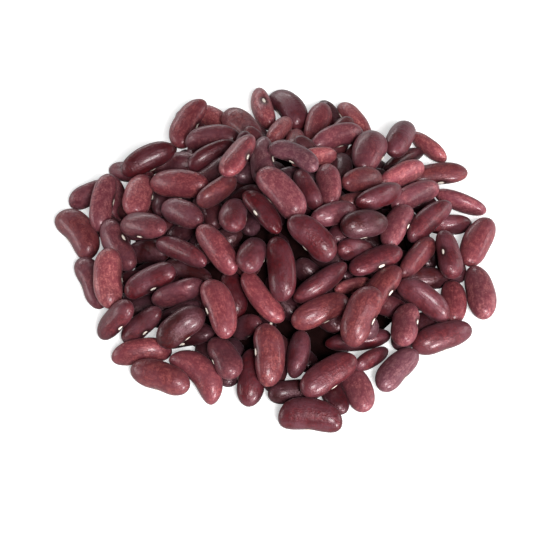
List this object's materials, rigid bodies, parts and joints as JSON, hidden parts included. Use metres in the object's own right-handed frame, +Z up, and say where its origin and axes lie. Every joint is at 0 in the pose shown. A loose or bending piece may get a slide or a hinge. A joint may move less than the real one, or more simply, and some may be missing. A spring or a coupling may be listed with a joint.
{
  "type": "heap of dried kidney beans",
  "caption": "Low rounded heap of whole dried kidney beans lying loose on a flat surface, uneven at its rim and flat underneath.",
  "frame": {"origin": "middle of the heap's flat underside, at the level of the surface it lies on", "axes": "+Z up out of the heap, -Z out of its underside, -Y towards the side shown at the front, +X to the right as seen from there"},
  "size_m": [0.1246, 0.1227, 0.0286],
  "materials": {
    "bean_skin": "satin dark red to purple-brown bean skins"
  },
  "bodies": {
    "root": {"bean_heap": "bean_skin"}
  },
  "joints": []
}
